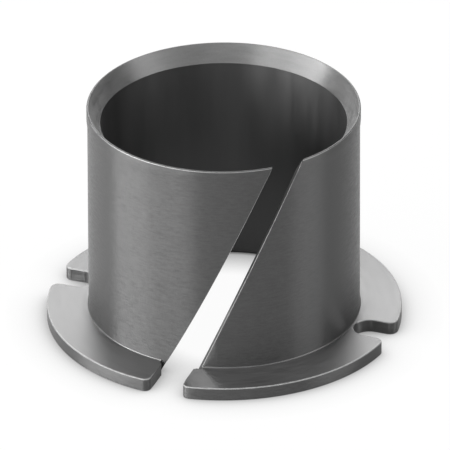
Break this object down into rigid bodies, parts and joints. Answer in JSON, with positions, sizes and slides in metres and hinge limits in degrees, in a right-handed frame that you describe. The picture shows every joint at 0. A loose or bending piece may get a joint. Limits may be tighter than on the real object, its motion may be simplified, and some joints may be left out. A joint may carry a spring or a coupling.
{
  "type": "flanged clip bearing",
  "caption": "Thin plastic sleeve bearing with a notched flange and an oblique slit, clipped into a sheet-metal hole to guide a shaft.",
  "frame": {"origin": "on the bore's axis, in the plane of the flange's underside", "axes": "+Z along the bore from the flange to the rim; the gap in the flange faces -Y, the two notches face +X and -X"},
  "size_m": [0.0258, 0.0259, 0.0172],
  "materials": {
    "moulded_plastic": "moulded dark grey engineering plastic with a soft sheen"
  },
  "bodies": {
    "root": {"clip_bearing": "moulded_plastic"}
  },
  "joints": []
}
